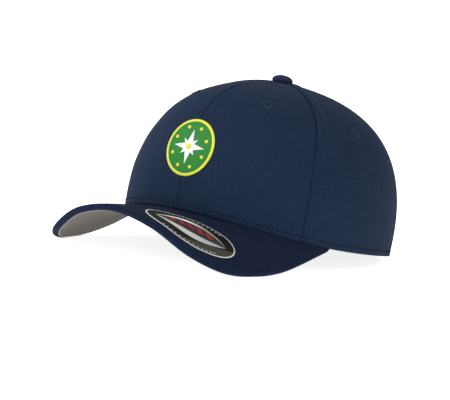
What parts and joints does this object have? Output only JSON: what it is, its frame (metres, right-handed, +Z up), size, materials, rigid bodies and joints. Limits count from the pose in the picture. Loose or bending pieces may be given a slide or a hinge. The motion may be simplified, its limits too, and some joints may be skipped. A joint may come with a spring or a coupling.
{
  "type": "six-panel cap",
  "caption": "Closed-back stretch cap: six cloth panels with stitched eyelets, a covered button, a curved stiff peak and a sweatband.",
  "frame": {"origin": "on the floor, under the middle of the cap's outline as it stands", "axes": "+X to the wearer's left, +Y to the back of the head, +Z up; the peak points to -Y"},
  "size_m": [0.161, 0.2562, 0.1143],
  "materials": {
    "navy_twill": "matt navy stretch twill",
    "eyelet_thread": "satin stitched navy thread",
    "grey_cloth": "matt warm grey twill",
    "band_cloth": "matt navy band",
    "badge_thread": "satin green embroidery with white and yellow thread",
    "sticker_foil": "gloss black film with a silver rim"
  },
  "bodies": {
    "root": {"panel_front_left": "navy_twill", "panel_side_left": "navy_twill", "panel_back_left": "navy_twill", "panel_front_right": "navy_twill", "panel_side_right": "navy_twill", "panel_back_right": "navy_twill", "eyelet_front_left": "eyelet_thread", "eyelet_side_left": "eyelet_thread", "eyelet_back_left": "eyelet_thread", "eyelet_front_right": "eyelet_thread", "eyelet_side_right": "eyelet_thread", "eyelet_back_right": "eyelet_thread", "button": "navy_twill", "peak_top": "navy_twill", "peak_under": "grey_cloth", "sweatband": "band_cloth", "front_badge": "badge_thread", "peak_sticker": "sticker_foil"}
  },
  "joints": []
}
